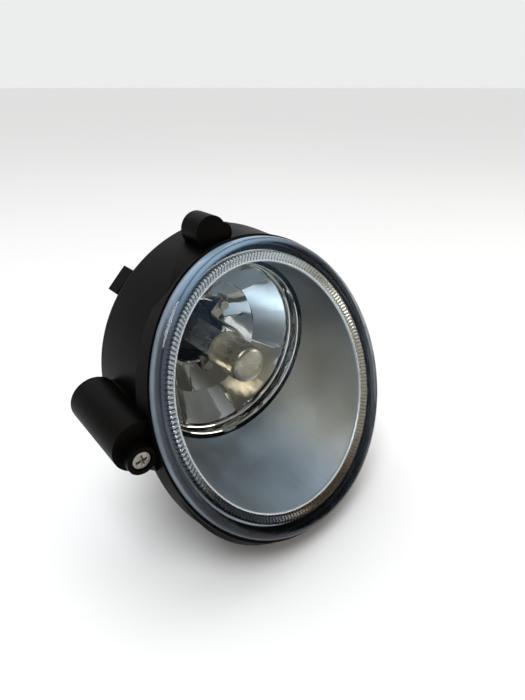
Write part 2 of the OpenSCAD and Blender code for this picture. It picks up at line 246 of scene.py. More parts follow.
@dataclass(frozen=True)
class Surface:
    """What every finish has: a name, and a shader that it makes its material from."""

    name: str

    def shader(self, graph: Graph) -> Sock:
        """The finish's own shader, made in a graph."""
        raise NotImplementedError

    def build(self) -> Material:
        """Makes the material.

        Returns:
            The new material.
        """
        material = bpy.data.materials.new(self.name)
        material.use_nodes = True
        graph = Graph(material.node_tree)
        graph.tree.nodes.clear()
        shader = self.shader(graph)
        output = graph.tree.nodes.new("ShaderNodeOutputMaterial")
        graph.tree.links.new(shader.socket, output.inputs[0])
        return material


@dataclass(frozen=True)
class Finish(Surface):
    """An opaque surface with grain, patches and small changes of gloss."""

    colour: Colour
    patch: Colour
    roughness: float = 0.5
    metallic: float = 0.0
    grain: Grain = Grain.MOULDED
    grain_size: float = 0.35
    relief: float = 0.01
    patch_size: float = 9.0
    gloss_change: float = 0.12
    specular: float = 0.5

    def shader(self, graph: Graph) -> Sock:
        """The shader of an opaque surface.

        Args:
            graph: The material's graph.

        Returns:
            The shader.
        """
        patches = graph.noise(self.patch_size, 4.0).between(0.32, 0.68)
        stretch, factor, detail = self.grain.value
        height = graph.noise(self.grain_size * factor, detail, stretch)
        if self.grain is Grain.BLASTED:
            streaks = graph.noise(self.grain_size * 1.6, stretch=(1.0, 0.12, 1.0))
            height = height * 0.6 + streaks * 0.4
        speck = height.between(0.35, 0.65)
        colour = graph.mix(patches * 0.7 + speck * 0.3, self.colour, self.patch)
        gloss = (patches + speck - 1.0) * (self.gloss_change * 0.5) + self.roughness
        return graph.principled(
            Base_Color=colour,
            Metallic=self.metallic,
            Roughness=gloss,
            Specular_IOR_Level=self.specular,
            Normal=graph.bump(height, self.relief),
        )


@dataclass(frozen=True)
class ThinGlass(Surface):
    """Clear glass that lets light straight through and mirrors at low angles."""

    tint: Colour
    face_on: float = 0.05
    ior: float = 1.45

    def shader(self, graph: Graph) -> Sock:
        """The shader of thin glass.

        Args:
            graph: The material's graph.

        Returns:
            The shader.
        """
        haze = graph.noise(6.0, 3.0).between(0.3, 0.8)
        gloss = graph.principled(
            Base_Color=self.tint, Roughness=haze * 0.04 + 0.01, IOR=self.ior, Coat_Weight=0.5
        )
        return graph.sheet(self.tint, gloss, self.face_on, haze * 0.02)


@dataclass(frozen=True)
class LensGlass(Surface):
    """The lamp's lens: clear over the bowl; its thick skirt is near black, painted lighter
    blue-grey towards the top, with a painted pale blue reflection along the top, painted shade
    towards +X, a painted dark band and a painted pale highlight line round the outer rim.
    """

    name: str = "clear_lens_glass"
    clear_to: float = 42.9
    skirt_from: float = 44.0
    painted_rim_highlight_from: float = 45.3
    face_on: float = 0.03
    ior: float = 1.49

    def shader(self, graph: Graph) -> Sock:
        """The shader of the lens.

        Args:
            graph: The material's graph.

        Returns:
            The shader.
        """
        side, up, radius = graph.polar()
        skirt = radius.between(self.clear_to, self.skirt_from)
        edge = radius.between(self.painted_rim_highlight_from, self.painted_rim_highlight_from + 0.5)
        waves = graph.noise(5.0, 2.0, (1.0, 3.0, 1.0)).between(0.3, 0.7)
        # A painted dark band where the thick skirt refracts.
        painted_dark_band = radius.between(44.3, 44.6) * radius.between(45.0, 44.7)
        # Painted light on the skirt: lighter blue-grey towards the top, a painted pale blue
        # reflection along the top, painted shade towards +X, random waves, the painted dark band
        # and a painted pale highlight line round the outer rim that fades out at the bottom.
        tone = graph.layers(
            (0.01, 0.012, 0.012),
            (up.between(-0.6, 0.25), (0.062, 0.074, 0.092)),
            (up.between(0.55, 0.95), (0.26, 0.42, 0.6)),
            (side.between(-0.1, 0.6) * 0.9, (0.02, 0.026, 0.034)),
            (waves * 0.3, (0.05, 0.06, 0.09)),
            (painted_dark_band * 0.75, (0.012, 0.016, 0.03)),
            (edge * up.between(-0.9, -0.1) * 0.7, (0.34, 0.4, 0.46)),
        )
        gloss = graph.principled(
            Base_Color=tone,
            Roughness=waves * 0.05 + 0.03,
            IOR=self.ior,
            Specular_IOR_Level=0.18,
            Coat_Weight=up.between(-0.2, 0.5) * 0.6,
            Normal=graph.bump(graph.noise(9.0, 1.0), 0.03),
        )
        # The veil is thicker low down, so more of the near-black tone shows there: painted shade.
        veil = skirt * (waves * 0.15 + up.between(0.1, -0.4) * 0.24 + 0.6)
        return graph.sheet((0.95, 0.97, 0.98), gloss, self.face_on, veil)


@dataclass(frozen=True)
class FluteBand(Surface):
    """The metallised flutes round the mouth, with painted reflections: pale at the top, bronze
    below, beige towards +X and pale blue high towards -X, and painted shade, near black, low
    towards -X.
    """

    name: str = "fluted_band_metal"
    roughness: float = 0.22
    # Set for the darker copy laid on the grooves, which carries painted groove shade.
    groove: bool = False

    def shader(self, graph: Graph) -> Sock:
        """The shader of the flutes.

        Args:
            graph: The material's graph.

        Returns:
            The shader.
        """
        side, up, _ = graph.polar()
        grain = graph.noise(0.4, 3.0)
        # Painted reflections and shade round the ring: bronze below, near black low towards -X,
        # beige towards +X and pale blue high towards -X.
        low = up.between(0.0, -0.6)
        # The crests darken at random with the grain; the groove copy gets painted groove shade
        # instead, deepest low towards -X.
        grain_and_groove_shade = grain * 0.3
        if self.groove:
            grain_and_groove_shade = side.between(0.6, 0.0) * up.between(-0.8, -0.2) * 0.62 + 0.2
        tone = graph.layers(
            (0.74, 0.75, 0.74),
            (low, (0.15, 0.1, 0.055)),
            (low * side.between(0.1, -0.5), (0.03, 0.03, 0.034)),
            (side.between(0.3, 0.9) * 0.85, (0.62, 0.56, 0.42)),
            (side.between(-0.3, -0.9) * up.between(-0.5, 0.0) * 0.6, (0.6, 0.65, 0.72)),
            (grain_and_groove_shade, (0.02, 0.02, 0.023)),
        )
        return graph.principled(
            Base_Color=tone,
            Metallic=0.85,
            Roughness=grain * 0.12 + self.roughness,
            Normal=graph.bump(grain, 0.004),
        )


@dataclass(frozen=True)
class SatinBowl(Surface):
    """Metal sprayed on a bowl, with painted shade high up towards +X and at -X, a painted pale
    blue reflection low down and a painted warm reflection low towards +X.
    """

    name: str = "satin_metallised_bowl"
    # The first colour carries painted shade and the grain streaks, the third a painted pale blue
    # reflection and random clouds, the fourth a painted warm reflection.
    dark: Colour = (0.3, 0.29, 0.28)
    middle: Colour = (0.56, 0.56, 0.54)
    pale: Colour = (0.62, 0.74, 0.88)
    painted_warm_reflection: Colour = (0.74, 0.69, 0.57)
    roughness: float = 0.34
    grain_size: float = 0.3

    def shader(self, graph: Graph) -> Sock:
        """The shader of the bowl.

        Args:
            graph: The material's graph.

        Returns:
            The shader.
        """
        x, z = graph.part(graph.point, 0), graph.part(graph.point, 2)
        rise = (z + x * 0.5) / MM
        fine = graph.noise(self.grain_size, 4.0)
        streaks = graph.noise(1.4, 4.0, (1.0, 0.1, 1.0))
        clouds = graph.noise(11.0, 3.0).between(0.3, 0.7)
        across = x / MM
        # Painted light and shade by place: painted shade high up towards +X and at -X, a painted
        # pale blue reflection low down and a painted warm reflection low towards +X; the streaks
        # and clouds are the finish's own random tone.
        tone = graph.layers(
            self.middle,
            (rise.between(-8.0, 34.0), self.dark),
            (rise.between(-6.0, -34.0) * 0.8, self.pale),
            (across.between(4.0, 30.0) * rise.between(34.0, 0.0) * 0.75, self.painted_warm_reflection),
            (streaks.between(0.35, 0.7) * 0.07, self.dark),
            (across.between(-6.0, -24.0) * 0.55, self.dark),
            (clouds * 0.12, self.pale),
        )
        height = fine * 0.9 + streaks * 0.1
        return graph.principled(
            Base_Color=tone,
            Metallic=1.0,
            Roughness=fine * 0.08 + clouds * 0.06 + self.roughness,
            Normal=graph.bump(height, 0.03),
        )


BLACK_PLASTIC = Finish(
    "black_moulded_plastic", (0.0006, 0.0006, 0.0007), (0.0022, 0.0016, 0.0011),
    roughness=0.4, grain_size=0.22, patch_size=14.0, specular=0.03,
)
MOUTH_LIP = Finish(
    "bright_mouth_lip", (0.86, 0.88, 0.9), (0.74, 0.76, 0.78),
    roughness=0.42, metallic=1.0, grain=Grain.BLASTED, grain_size=0.3,
)
MIRROR = Finish(
    "bright_metallised_mirror", (0.68, 0.67, 0.63), (0.62, 0.6, 0.55),
    roughness=0.045, metallic=1.0, grain=Grain.POLISHED, grain_size=0.4, relief=0.05,
    gloss_change=0.03,
)
SATIN_NICKEL = Finish(
    "satin_nickel_shield", (0.42, 0.37, 0.29), (0.28, 0.25, 0.19),
    roughness=0.3, metallic=1.0, grain=Grain.BRUSHED, grain_size=0.25, relief=0.012,
    patch_size=4.0,
)
DULL_ZINC = Finish(
    "dull_zinc_screw", (0.36, 0.34, 0.29), (0.2, 0.18, 0.15),
    roughness=0.42, metallic=0.9, grain=Grain.TURNED, grain_size=0.15, relief=0.015,
    patch_size=1.5,
)
BRIGHT_STEEL = Finish(
    "bright_steel", (0.52, 0.53, 0.55), (0.38, 0.38, 0.4),
    roughness=0.28, metallic=1.0, grain=Grain.BRUSHED, grain_size=0.2,
    patch_size=3.0,
)
BRASS = Finish(
    "turned_brass", (0.62, 0.45, 0.18), (0.44, 0.3, 0.11),
    roughness=0.3, metallic=1.0, grain=Grain.TURNED, grain_size=0.2, relief=0.012,
    patch_size=3.0,
)
TINNED_BRASS = Finish(
    "tinned_brass", (0.62, 0.57, 0.44), (0.46, 0.41, 0.3),
    roughness=0.34, metallic=1.0, grain=Grain.BRUSHED, grain_size=0.2,
    patch_size=2.0,
)
NATURAL_NYLON = Finish(
    "natural_nylon", (0.72, 0.69, 0.58), (0.62, 0.58, 0.47),
    roughness=0.45, grain_size=0.3, patch_size=5.0,
)
BLACK_RUBBER = Finish(
    "black_rubber", (0.01, 0.01, 0.01), (0.022, 0.021, 0.02),
    roughness=0.72, grain_size=0.18, relief=0.02, patch_size=4.0, specular=0.3,
)
CURED_ADHESIVE = Finish(
    "cured_adhesive", (0.035, 0.036, 0.04), (0.02, 0.02, 0.022),
    roughness=0.6, grain_size=0.6, relief=0.05, patch_size=3.0,
)
RED_SILICONE = Finish(
    "red_silicone", (0.36, 0.07, 0.035), (0.26, 0.045, 0.025),
    roughness=0.55, grain_size=0.25, relief=0.012, patch_size=4.0,
)
BASE_PLASTIC = Finish(
    "black_glass_filled_plastic", (0.006, 0.006, 0.007), (0.013, 0.013, 0.014),
    grain_size=0.3, relief=0.02, patch_size=5.0, specular=0.2,
)
TUNGSTEN = Finish(
    "drawn_tungsten", (0.32, 0.31, 0.3), (0.2, 0.19, 0.19),
    roughness=0.4, metallic=1.0, grain=Grain.BRUSHED, grain_size=0.08, relief=0.004,
    patch_size=1.0,
)
QUARTZ = ThinGlass("quartz_glass", (0.96, 0.97, 0.98))


# ---- mesh making ----


@dataclass(frozen=True)
class LensFrame:
    """The frame of the lens seat, leaned back and turned aside from the lamp axis."""

    lean: float = 23.5
    sweep: float = 8.5

    def matrix(self) -> Matrix:
        """The turn from the lens frame to the lamp's."""
        turn = Matrix.Rotation(radians(self.sweep), 4, "Z")
        return turn @ Matrix.Rotation(radians(-self.lean), 4, "X")


def ring_point(radius: float, y: float, angle: float) -> Vector:
    """A point round the Y axis; the angle is in degrees from +X towards +Z."""
    turn = radians(angle)
    return Vector((radius * cos(turn), y, radius * sin(turn)))


def spaced(start: float, end: float, steps: int) -> list[float]:
    """Evenly spaced values, with both ends."""
    return [start + (end - start) * step / steps for step in range(steps + 1)]


def thread(y: float, angle: float, pitch: float) -> float:
    """Height of a thread at a place, from 0 to 1."""
    return abs(2 * ((y / pitch - angle / 360.0) % 1.0) - 1)


def put(name: str, data: Any) -> Piece:
    """Adds an object to the scene."""
    made = bpy.data.objects.new(name, data)
    bpy.context.scene.collection.objects.link(made)
    return made


def aim(thing: Piece, direction: Vector) -> None:
    """Turns a light or camera to look along a direction."""
    thing.rotation_mode = "QUATERNION"
    thing.rotation_quaternion = direction.to_track_quat("-Z", "Y")


def soften(points: Sequence[Any], rounds: int = 2, cut: float = 0.25) -> list[Any]:
    """Cuts the corners off an open line of points, again and again.

    Args:
        points: The line, as tuples or vectors.
        rounds: How many times the corners are cut.
        cut: The share of each stretch that a cut takes.

    Returns:
        The softer line, with the same two ends.
    """
    line = [Vector(p) for p in points]
    for _ in range(rounds):
        cuts = [line[0]]
        for a, b in zip(line, line[1:]):
            cuts += [a.lerp(b, cut), a.lerp(b, 1 - cut)]
        line = cuts + [line[-1]]
    return line


def skin(
    name: str,
    loops: Sequence[Sequence[Vector]],
    matrix: Matrix | None = None,
    closed: bool = True,
    looped: bool = True,
    sharp: float = 32.0,
) -> Piece:
    """Joins neighbouring lines of points into one smooth solid.

    Args:
        name: The piece's name.
        loops: Lines of equally many points, in millimetres.
        matrix: The place of the piece's own frame.
        closed: Whether each line closes on itself.
        looped: Whether the last line joins the first.
        sharp: Edges that turn by more degrees than this stay crisp.

    Returns:
        The new object.
    """
    width = len(loops[0])
    points = [Vector(p) * MM for loop in loops for p in loop]
    faces = []
    for i in range(len(loops) if looped else len(loops) - 1):
        after = (i + 1) % len(loops)
        for j in range(width if closed else width - 1):
            k = (j + 1) % width
            faces.append((i * width + j, i * width + k, after * width + k, after * width + j))
    if not looped:
        faces += [tuple(range(width)), tuple(range(len(points) - width, len(points)))]
    mesh = bpy.data.meshes.new(name)
    mesh.from_pydata(points, [], faces)
    shell = bmesh.new()
    shell.from_mesh(mesh)
    bmesh.ops.remove_doubles(shell, verts=shell.verts, dist=1e-7)
    bmesh.ops.recalc_face_normals(shell, faces=shell.faces)
    shell.to_mesh(mesh)
    shell.free()
    mesh.shade_smooth()
    mesh.set_sharp_from_angle(angle=radians(sharp))
    piece = put(name, mesh)
    if matrix is not None:
        piece.matrix_world = matrix
    return piece


def lathe(
    name: str,
    section: Callable[[float], Sequence[Any]],
    count: int,
    matrix: Matrix | None = None,
    at: tuple[float, float] = (0.0, 0.0),
    closed: bool = True,
    sharp: float = 32.0,
) -> Piece:
    """Turns a section of (radius, y) points round an axis along Y.

    Args:
        name: The piece's name.
        section: Gives the points at an angle in degrees.
        count: Steps round the turn.
        matrix: The place of the piece's own frame.
        at: The axis's x and z.
        closed: Whether the section closes on itself; if not, it ends on the axis.
        sharp: Edges that turn by more degrees than this stay crisp.

    Returns:
        The new object.
    """
    shift = Vector((at[0], 0.0, at[1]))
    angles = spaced(0.0, 360.0, count)[:-1]
    loops = [[ring_point(r, y, a) + shift for r, y in section(a)] for a in angles]
    return skin(name, loops, matrix, closed, sharp=sharp)


def join(name: str, parts: Sequence[Piece]) -> Piece:
    """Makes one object of several that share a frame, and names it."""
    merged = bmesh.new()
    for part in parts:
        merged.from_mesh(part.data)
    mesh = bpy.data.meshes.new(name)
    merged.to_mesh(mesh)
    merged.free()
    for part in parts:
        bpy.data.objects.remove(part)
    return put(name, mesh)


def coil(name: str, path: Sequence[Vector], radius: float, sides: int) -> Piece:
    """A round wire along a path.

    Args:
        name: The piece's name.
        path: The wire's middle, in millimetres.
        radius: The wire's radius.
        sides: Steps round the wire.

    Returns:
        The new object.
    """
    loops = []
    normal = Vector((0.0, 0.0, 1.0))
    for index, point in enumerate(path):
        ahead = path[min(index + 1, len(path) - 1)] - path[max(index - 1, 0)]
        ahead.normalize()
        normal = (normal - ahead * normal.dot(ahead)).normalized()
        across = ahead.cross(normal)
        turns = [tau * step / sides for step in range(sides)]
        spokes = [normal * cos(t) + across * sin(t) for t in turns]
        loops.append([point + spoke * radius for spoke in spokes])
    return skin(name, loops, looped=False, sharp=60.0)


def paint(piece: Piece, finish: Surface) -> None:
    """Gives a piece its only material."""
    piece.data.materials.clear()
    piece.data.materials.append(finish.build())
    LOG.info("%s: %d faces in %s", piece.name, len(piece.data.polygons), finish.name)


def dress(piece: Piece, finish: Surface, body: str, node: str) -> None:
    """Finishes a new piece and lets it stand for a solid.

    Args:
        piece: The piece.
        finish: Its finish.
        body: The body that it rides on.
        node: The solid that it replaces.
    """
    paint(piece, finish)
    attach(piece, body)
    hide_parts(node)


# ---- sub-assemblies ----


@dataclass
class Lens:
    """The domed lens with its thick skirt and the tongue that sits in the channel."""

    seat: LensFrame
    shoulder_radius: float = 43.0
    shoulder_height: float = 4.6
    rise: float = 10.2
    wall: float = 2.0
    radius: float = 45.8
    steps: int = 30

    def dome(self, radius: float) -> float:
        """Height of the outer face above the seat at a radius."""
        fall = self.rise - self.shoulder_height
        return self.rise - fall * (radius / self.shoulder_radius) ** 2

    def face(self, radius: float, inward: float) -> Section:
        """One face's section, from the middle out to a radius."""
        return [(r, inward - self.dome(r)) for r in spaced(0.0, radius, self.steps)]

    def section(self) -> Section:
        """The section from the middle of the outer face round to that of the inner face.

        Returns:
            Its (radius, y) points.
        """
        outer = self.face(self.shoulder_radius, 0.0)
        inner = self.face(self.shoulder_radius - self.wall, self.wall)[::-1]
        rim = [(44.9, -3.6), (45.6, -2.3), (self.radius, -1.2), (self.radius, 0)]
        tongue = [(45.3, 0.0), (45.3, 1.6), (43.9, 1.6)]
        well = soften([(43.9, -1.0), (43.2, -1.8), (42.3, -2.3), inner[0]])
        return outer[:-1] + soften([outer[-1], *rim]) + tongue + well + inner[1:]

    def build(self) -> None:
        """Makes and dresses the lens."""
        section = self.section()
        matrix = self.seat.matrix()
        piece = lathe("lens_glass", lambda _: section, 192, matrix, closed=False, sharp=50.0)
        dress(piece, LensGlass(), "lamp", "lens")


@dataclass
class FlutedRing:
    """The ring of fine flutes between the bezel's mouth and the lens."""

    seat: LensFrame
    inner: float = 38.2
    crest: float = 40.7
    outer: float = 41.4
    base: float = 0.2
    rise: float = 2.0
    flutes: int = 200
    steps: int = 6
    depth: float = 0.6

    def wave(self, angle: float) -> float:
        """Height of the flutes at one angle, from 0 in a groove to 1 on a crest."""
        return 0.5 - 0.5 * cos(radians(angle * self.flutes))

    def section(self, angle: float) -> Section:
        """The section at one angle, where the flutes cut into both slopes."""
        cut = self.depth * (1 - self.wave(angle) ** 0.7)
        middle = (self.inner + self.crest) / 2
        inner, crest, outer, top = self.inner, self.crest, self.outer, -self.rise
        lip = [(inner, self.base), (inner, -0.35), (inner + 0.25, -0.62)]
        slope = [(inner + 0.55, -0.72 + cut * 0.6), (middle, -1.25 + cut)]
        slope += [(crest - 0.45, -1.78 + cut), (crest - 0.1, top + cut * 0.8)]
        rim = [(crest + 0.2, top + 0.05 + cut * 0.6), (outer - cut * 0.5, top + 0.5)]
        foot = [(outer - cut * 0.3, -0.9), (outer, -0.3), (outer, self.base)]
        return lip + slope + rim + foot

    def build(self) -> None:
        """Makes and dresses the ring."""
        count, matrix = self.flutes * self.steps, self.seat.matrix()
        piece = lathe("fluted_band", self.section, count, matrix, sharp=70.0)
        dress(piece, FluteBand(), "lamp", "fluted_ring")
        # Faces low in each flute take the darker groove copy of the flute metal: painted groove
        # shade. The faces at the inner edge take the bright lip finish.
        piece.data.materials.append(FluteBand("fluted_band_painted_groove_shade", groove=True).build())
        piece.data.materials.append(MOUTH_LIP.build())
        for face in piece.data.polygons:
            turn = degrees(atan2(face.center.z, face.center.x))
            if face.center.xz.length / MM < self.inner + 0.45:
                face.material_index = 2
            elif self.wave(turn) < 0.3:
                face.material_index = 1


@dataclass
class Bezel:
    """The satin bowl between the lens and the reflector, with its flange."""

    seat: LensFrame
    mouth: float = 38.2
    throat: float = 32.9
    throat_y: float = 27.0
    wall: float = 1.1
    flange: float = 42.0
    flange_top: float = 0.2
    flange_back: float = 1.6
    bulge: float = 0.3
    rings: int = 28
    sides: int = 192

    def bowl(self, angle: float, depth: float, out: float) -> Vector:
        """A point of the bowl.

        Args:
            angle: The angle round the lamp axis.
            depth: From 0 at the mouth to 1 at the throat.
            out: The distance outside the inner face.

        Returns:
            The point in the lamp's frame.
        """
        start = self.seat.matrix() @ ring_point(self.mouth + out, self.flange_top, angle)
        end = ring_point(self.throat + out, self.throat_y, angle)
        swell = ring_point(self.bulge * sin(pi * depth), 0.0, angle)
        return start.lerp(end, depth) + swell

    def loop(self, angle: float) -> list[Vector]:
        """The bezel's section at one angle, with a rolled edge at the throat."""
        tip = (self.bowl(angle, 1.0, 0.0) + self.bowl(angle, 1.0, self.wall)) / 2
        inside = [self.bowl(angle, j / self.rings, 0.0) for j in range(self.rings + 1)]
        outside = [self.bowl(angle, j / self.rings, self.wall) for j in range(self.rings, 0, -4)]
        roll = soften([inside[-1], tip + Vector((0, 0.35, 0)), outside[0]], 2)
        turn = self.seat.matrix()
        flange = [
            turn @ ring_point(self.mouth + self.wall, self.flange_back, angle),
            turn @ ring_point(self.flange, self.flange_back, angle),
            turn @ ring_point(self.flange, self.flange_top, angle),
        ]
        return inside[:-1] + roll + outside[1:] + flange

    def build(self) -> None:
        """Makes and dresses the bezel."""
        piece = skin("bezel_bowl", [self.loop(a) for a in spaced(0.0, 360.0, self.sides)[:-1]])
        dress(piece, SatinBowl(), "lamp", "bezel")


@dataclass
class Reflector:
    """The bright bowl whose facets throw the beam, with its stepped lip."""

    focal: float = 12.0
    step_radius: float = 30.0
    step_y: float = 34.0
    lip_radius: float = 31.8
    lip_y: float = 27.6
    wall: float = 1.8
    hole: float = 12.0
    sectors: int = 6
    first_sector: float = 12.0
    tier_radius: float = 21.5
    facet_depth: float = 0.9
    seam: float = 0.25

    def plain(self, radius: float) -> float:
        """Depth of the plain bowl at a radius."""
        vertex = self.step_y + self.step_radius**2 / (4 * self.focal)
        return vertex - radius**2 / (4 * self.focal)

    def facet(self, radius: float, angle: float, tier: int) -> float:
        """How far a facet stands in front of the plain bowl.

        Args:
            radius: The radius.
            angle: The angle round the axis.
            tier: 0 for the inner facets and 1 for the outer ones.

        Returns:
            The distance towards the front.
        """
        width = 360.0 / self.sectors
        turned = (angle - self.first_sector - tier * width * 0.5) % 360.0
        sector, across = int(turned // width), (turned % width) / width - 0.5
        flat = self.facet_depth * (0.25 - across**2) * 4 * (radius / self.step_radius)
        lean = 0.35 * sin(2.4 * sector + 1.3 * tier) * across * radius / self.step_radius
        tip = 0.03 * cos(1.7 * sector + 2.0 * tier) * (radius - self.tier_radius)
        return flat + lean + tip

    def loop(self, angle: float) -> list[Vector]:
        """The section at one angle, from the bulb's hole out to the lip and back.

        Args:
            angle: The angle round the axis.

        Returns:
            Its points.
        """
        roll = self.hole + 0.6
        front = [(self.hole, self.plain(self.hole)), (roll, self.plain(roll) - 0.5)]
        ends = (self.hole + 1.2, self.tier_radius, self.step_radius)
        for tier in (0, 1):
            for r in spaced(ends[tier], ends[tier + 1], 12):
                front.append((r + 0.02 * tier, self.plain(r) - self.facet(r, angle, tier)))
        step = [(30.25, 33.6), (30.3, 32.2), (30.55, 31.7), (30.9, 31.5), (31.0, 28.3)]
        lip = [(31.15, 27.8), (31.45, self.lip_y), (31.7, 27.75), (self.lip_radius, 28.2)]
        back = [(self.lip_radius, self.step_y + 0.5)]
        back += [(r, self.plain(r) + self.wall) for r in (30.0, 26.0, 22.0, 18.0, 15.0, self.hole)]
        return [ring_point(r, y, angle) for r, y in front + step + lip + back]

    def angles(self) -> list[float]:
        """Steps round the bowl, with a narrow pair at each seam between facets."""
        width = 180.0 / self.sectors
        seams = [self.first_sector + width * k for k in range(2 * self.sectors)]
        inner = spaced(self.seam, width - self.seam, 10)
        return sorted({round((s + step) % 360.0, 6) for s in seams for step in inner})

    def build(self) -> None:
        """Makes and dresses the bowl."""
        bowl = skin("reflector_bowl", [self.loop(a) for a in self.angles()], sharp=24.0)
        dress(bowl, MIRROR, "reflector", "reflector")


@dataclass
class Ears:
    """The blocks on the reflector's side that hold the pivot bushes and the arm."""

    pivot_y: float = 31.5
    inner: float = 31.5
    outer: float = 36.6
    floor: float = 32.9
    half_width: float = 4.0
    half_length: float = 3.6
    bore: float = 2.6
    pad: tuple[tuple[float, float], ...] = ((-37.8, -31.2), (29.7, 33.0), (-2.6, 5.4))

    def ear(self, side: int) -> Piece:
        """A rounded block with a blind bore for its bush, above or below the axis.

        Args:
            side: 1 for the upper ear and -1 for the lower.

        Returns:
            The new object.
        """
        loops = []
        for turn in spaced(0.0, tau, 48)[:-1]:
            c, s = cos(turn), sin(turn)
            swell = 1 / (abs(c) ** 5 + abs(s) ** 5) ** 0.2
            block = (self.half_width * c * swell, self.half_length * s * swell)
            bore = (self.bore * c, self.bore * s)
            low, high, floor = self.inner, self.outer, self.floor
            rings = [(block, 0.0, low), (block, 1.0, low), (block, 1.0, high - 0.3)]
            rings += [(block, 0.94, high), (bore, 1.06, high), (bore, 1.0, high - 0.15)]
            rings += [(bore, 1.0, floor), (bore, 0.0, floor)]
            places = [(x * k, self.pivot_y + y * k, z * side) for (x, y), k, z in rings]
            loops.append([Vector(place) for place in places])
        return skin(f"ear_{side}", loops, closed=False)

    def arm_pad(self) -> Piece:
        """The block that the arm is riveted to, with rounded edges."""
        (x0, x1), (y0, y1), (z0, z1) = self.pad
        edge = 0.5
        outline = [(y0 + edge, z0), (y1 - edge, z0), (y1, z0 + edge), (y1, z1 - edge)]
        outline += [(y1 - edge, z1), (y0 + edge, z1), (y0, z1 - edge), (y0, z0 + edge)]
        loops = [[Vector((x, y, z)) for y, z in outline] for x in (x0, x1)]
        return skin("pad", loops, looped=False)

    def build(self) -> None:
        """Makes and dresses both ears and the pad."""
        piece = join("reflector_ears", [self.ear(1), self.ear(-1), self.arm_pad()])
        dress(piece, MIRROR, "reflector", "reflector")


@dataclass
class BulbShield:
    """The cup in front of the bulb, with the two legs that carry it."""

    radius: float = 6.6
    wall: float = 0.6
    front: float = 15.0
    rear: float = 30.5
    leg_angles: tuple[float, float] = (-80.0, 40.0)
    leg_width: float = 4.6
    leg_thickness: float = 0.7
    leg_radius: float = 7.75
    foot_radius: float = 15.5
    foot_y: float = 47.2

    def cup(self) -> Piece:
        """The drawn cup with its rounded front."""
        r, y, w = self.radius, self.front, self.radius - self.wall
        crown = [(0, y), (r - 2.2, y + 0.1), (r - 0.5, y + 0.9), (r, y + 3.0), (r, y + 6.0)]
        mouth = [(r, self.rear - 0.4), (r + 0.25, self.rear - 0.1)]
        mouth += [(r + 0.2, self.rear), (w, self.rear)]
        well = [(w, y + 6.0), (w, y + 3.3), (w - 0.7, y + 1.6), (r - 2.6, y + 0.9), (0, y + 0.7)]
        section = soften(crown, 3) + mouth + soften(well)
        return lathe("cup", lambda _: section, 96, closed=False, sharp=40.0)

    def leg(self, angle: float) -> Piece:
        """A bent strip from the cup's skirt back to its foot."""
        start = (self.radius - 0.2, self.rear - 4.6)
        bends = [(self.radius + 0.1, self.rear - 2.6), (self.leg_radius, self.rear - 0.8)]
        bends += [(self.leg_radius, self.foot_y), (self.foot_radius, self.foot_y)]
        line = [Vector(start), *soften(bends, 2, 0.12)]
        half, flat = self.leg_width / 2, self.leg_width / 2 - 0.15
        edge = [(1.0, -flat), (1.0, flat), (0.6, half), (-0.6, half)]
        edge += [(-a, -b) for a, b in edge]
        loops = []
        for index, middle in enumerate(line):
            before, after = line[max(index - 1, 0)], line[min(index + 1, len(line) - 1)]
            along = (after - before).normalized()
            out = Vector((along.y, -along.x)) * self.leg_thickness / 2
            places = [(middle + out * share, z) for share, z in edge]
            loops.append([Vector((p.x, p.y, z)) for p, z in places])
        turn = Matrix.Rotation(-radians(angle), 4, "Y")
        return skin("leg", [[turn @ p for p in loop] for loop in loops], looped=False)

    def build(self) -> None:
        """Makes and dresses the shield."""
        legs = [self.leg(a) for a in self.leg_angles]
        piece = join("bulb_shield_cup", [self.cup(), *legs])
        dress(piece, SATIN_NICKEL, "reflector", "bulb_shield")


@dataclass
class Filament:
    """The coiled filament on its two posts."""

    centre_y: float = 40.75
    length: float = 4.8
    turns: int = 11
    coil_radius: float = 0.55
    wire: float = 0.13
    post_x: float = 1.8
    post_radius: float = 0.3
    rear: float = 47.0

    def build(self) -> None:
        """Makes and dresses the wire and its posts."""
        start = self.centre_y - self.length / 2
        steps = self.turns * 14
        angles = spaced(0.0, 360.0 * self.turns, steps)
        places = zip(spaced(start, start + self.length, steps), angles)
        path = [ring_point(self.coil_radius, y, angle) for y, angle in places]
        front, back = path[0], path[-1]
        wire = coil("wire", path, self.wire, 6)
        posts = []
        for side, end, lead in ((-1, front, start), (1, back, start + self.length)):
            corner = Vector((side * self.post_x, lead, 0))
            bend = soften([end, corner, Vector((side * self.post_x, self.rear, 0))], 2, 0.1)
            posts.append(coil("post", bend, self.post_radius * 0.7, 8))
        piece = join("filament_coil", [wire, *posts])
        dress(piece, TUNGSTEN, "bulb", "bulb_filament")


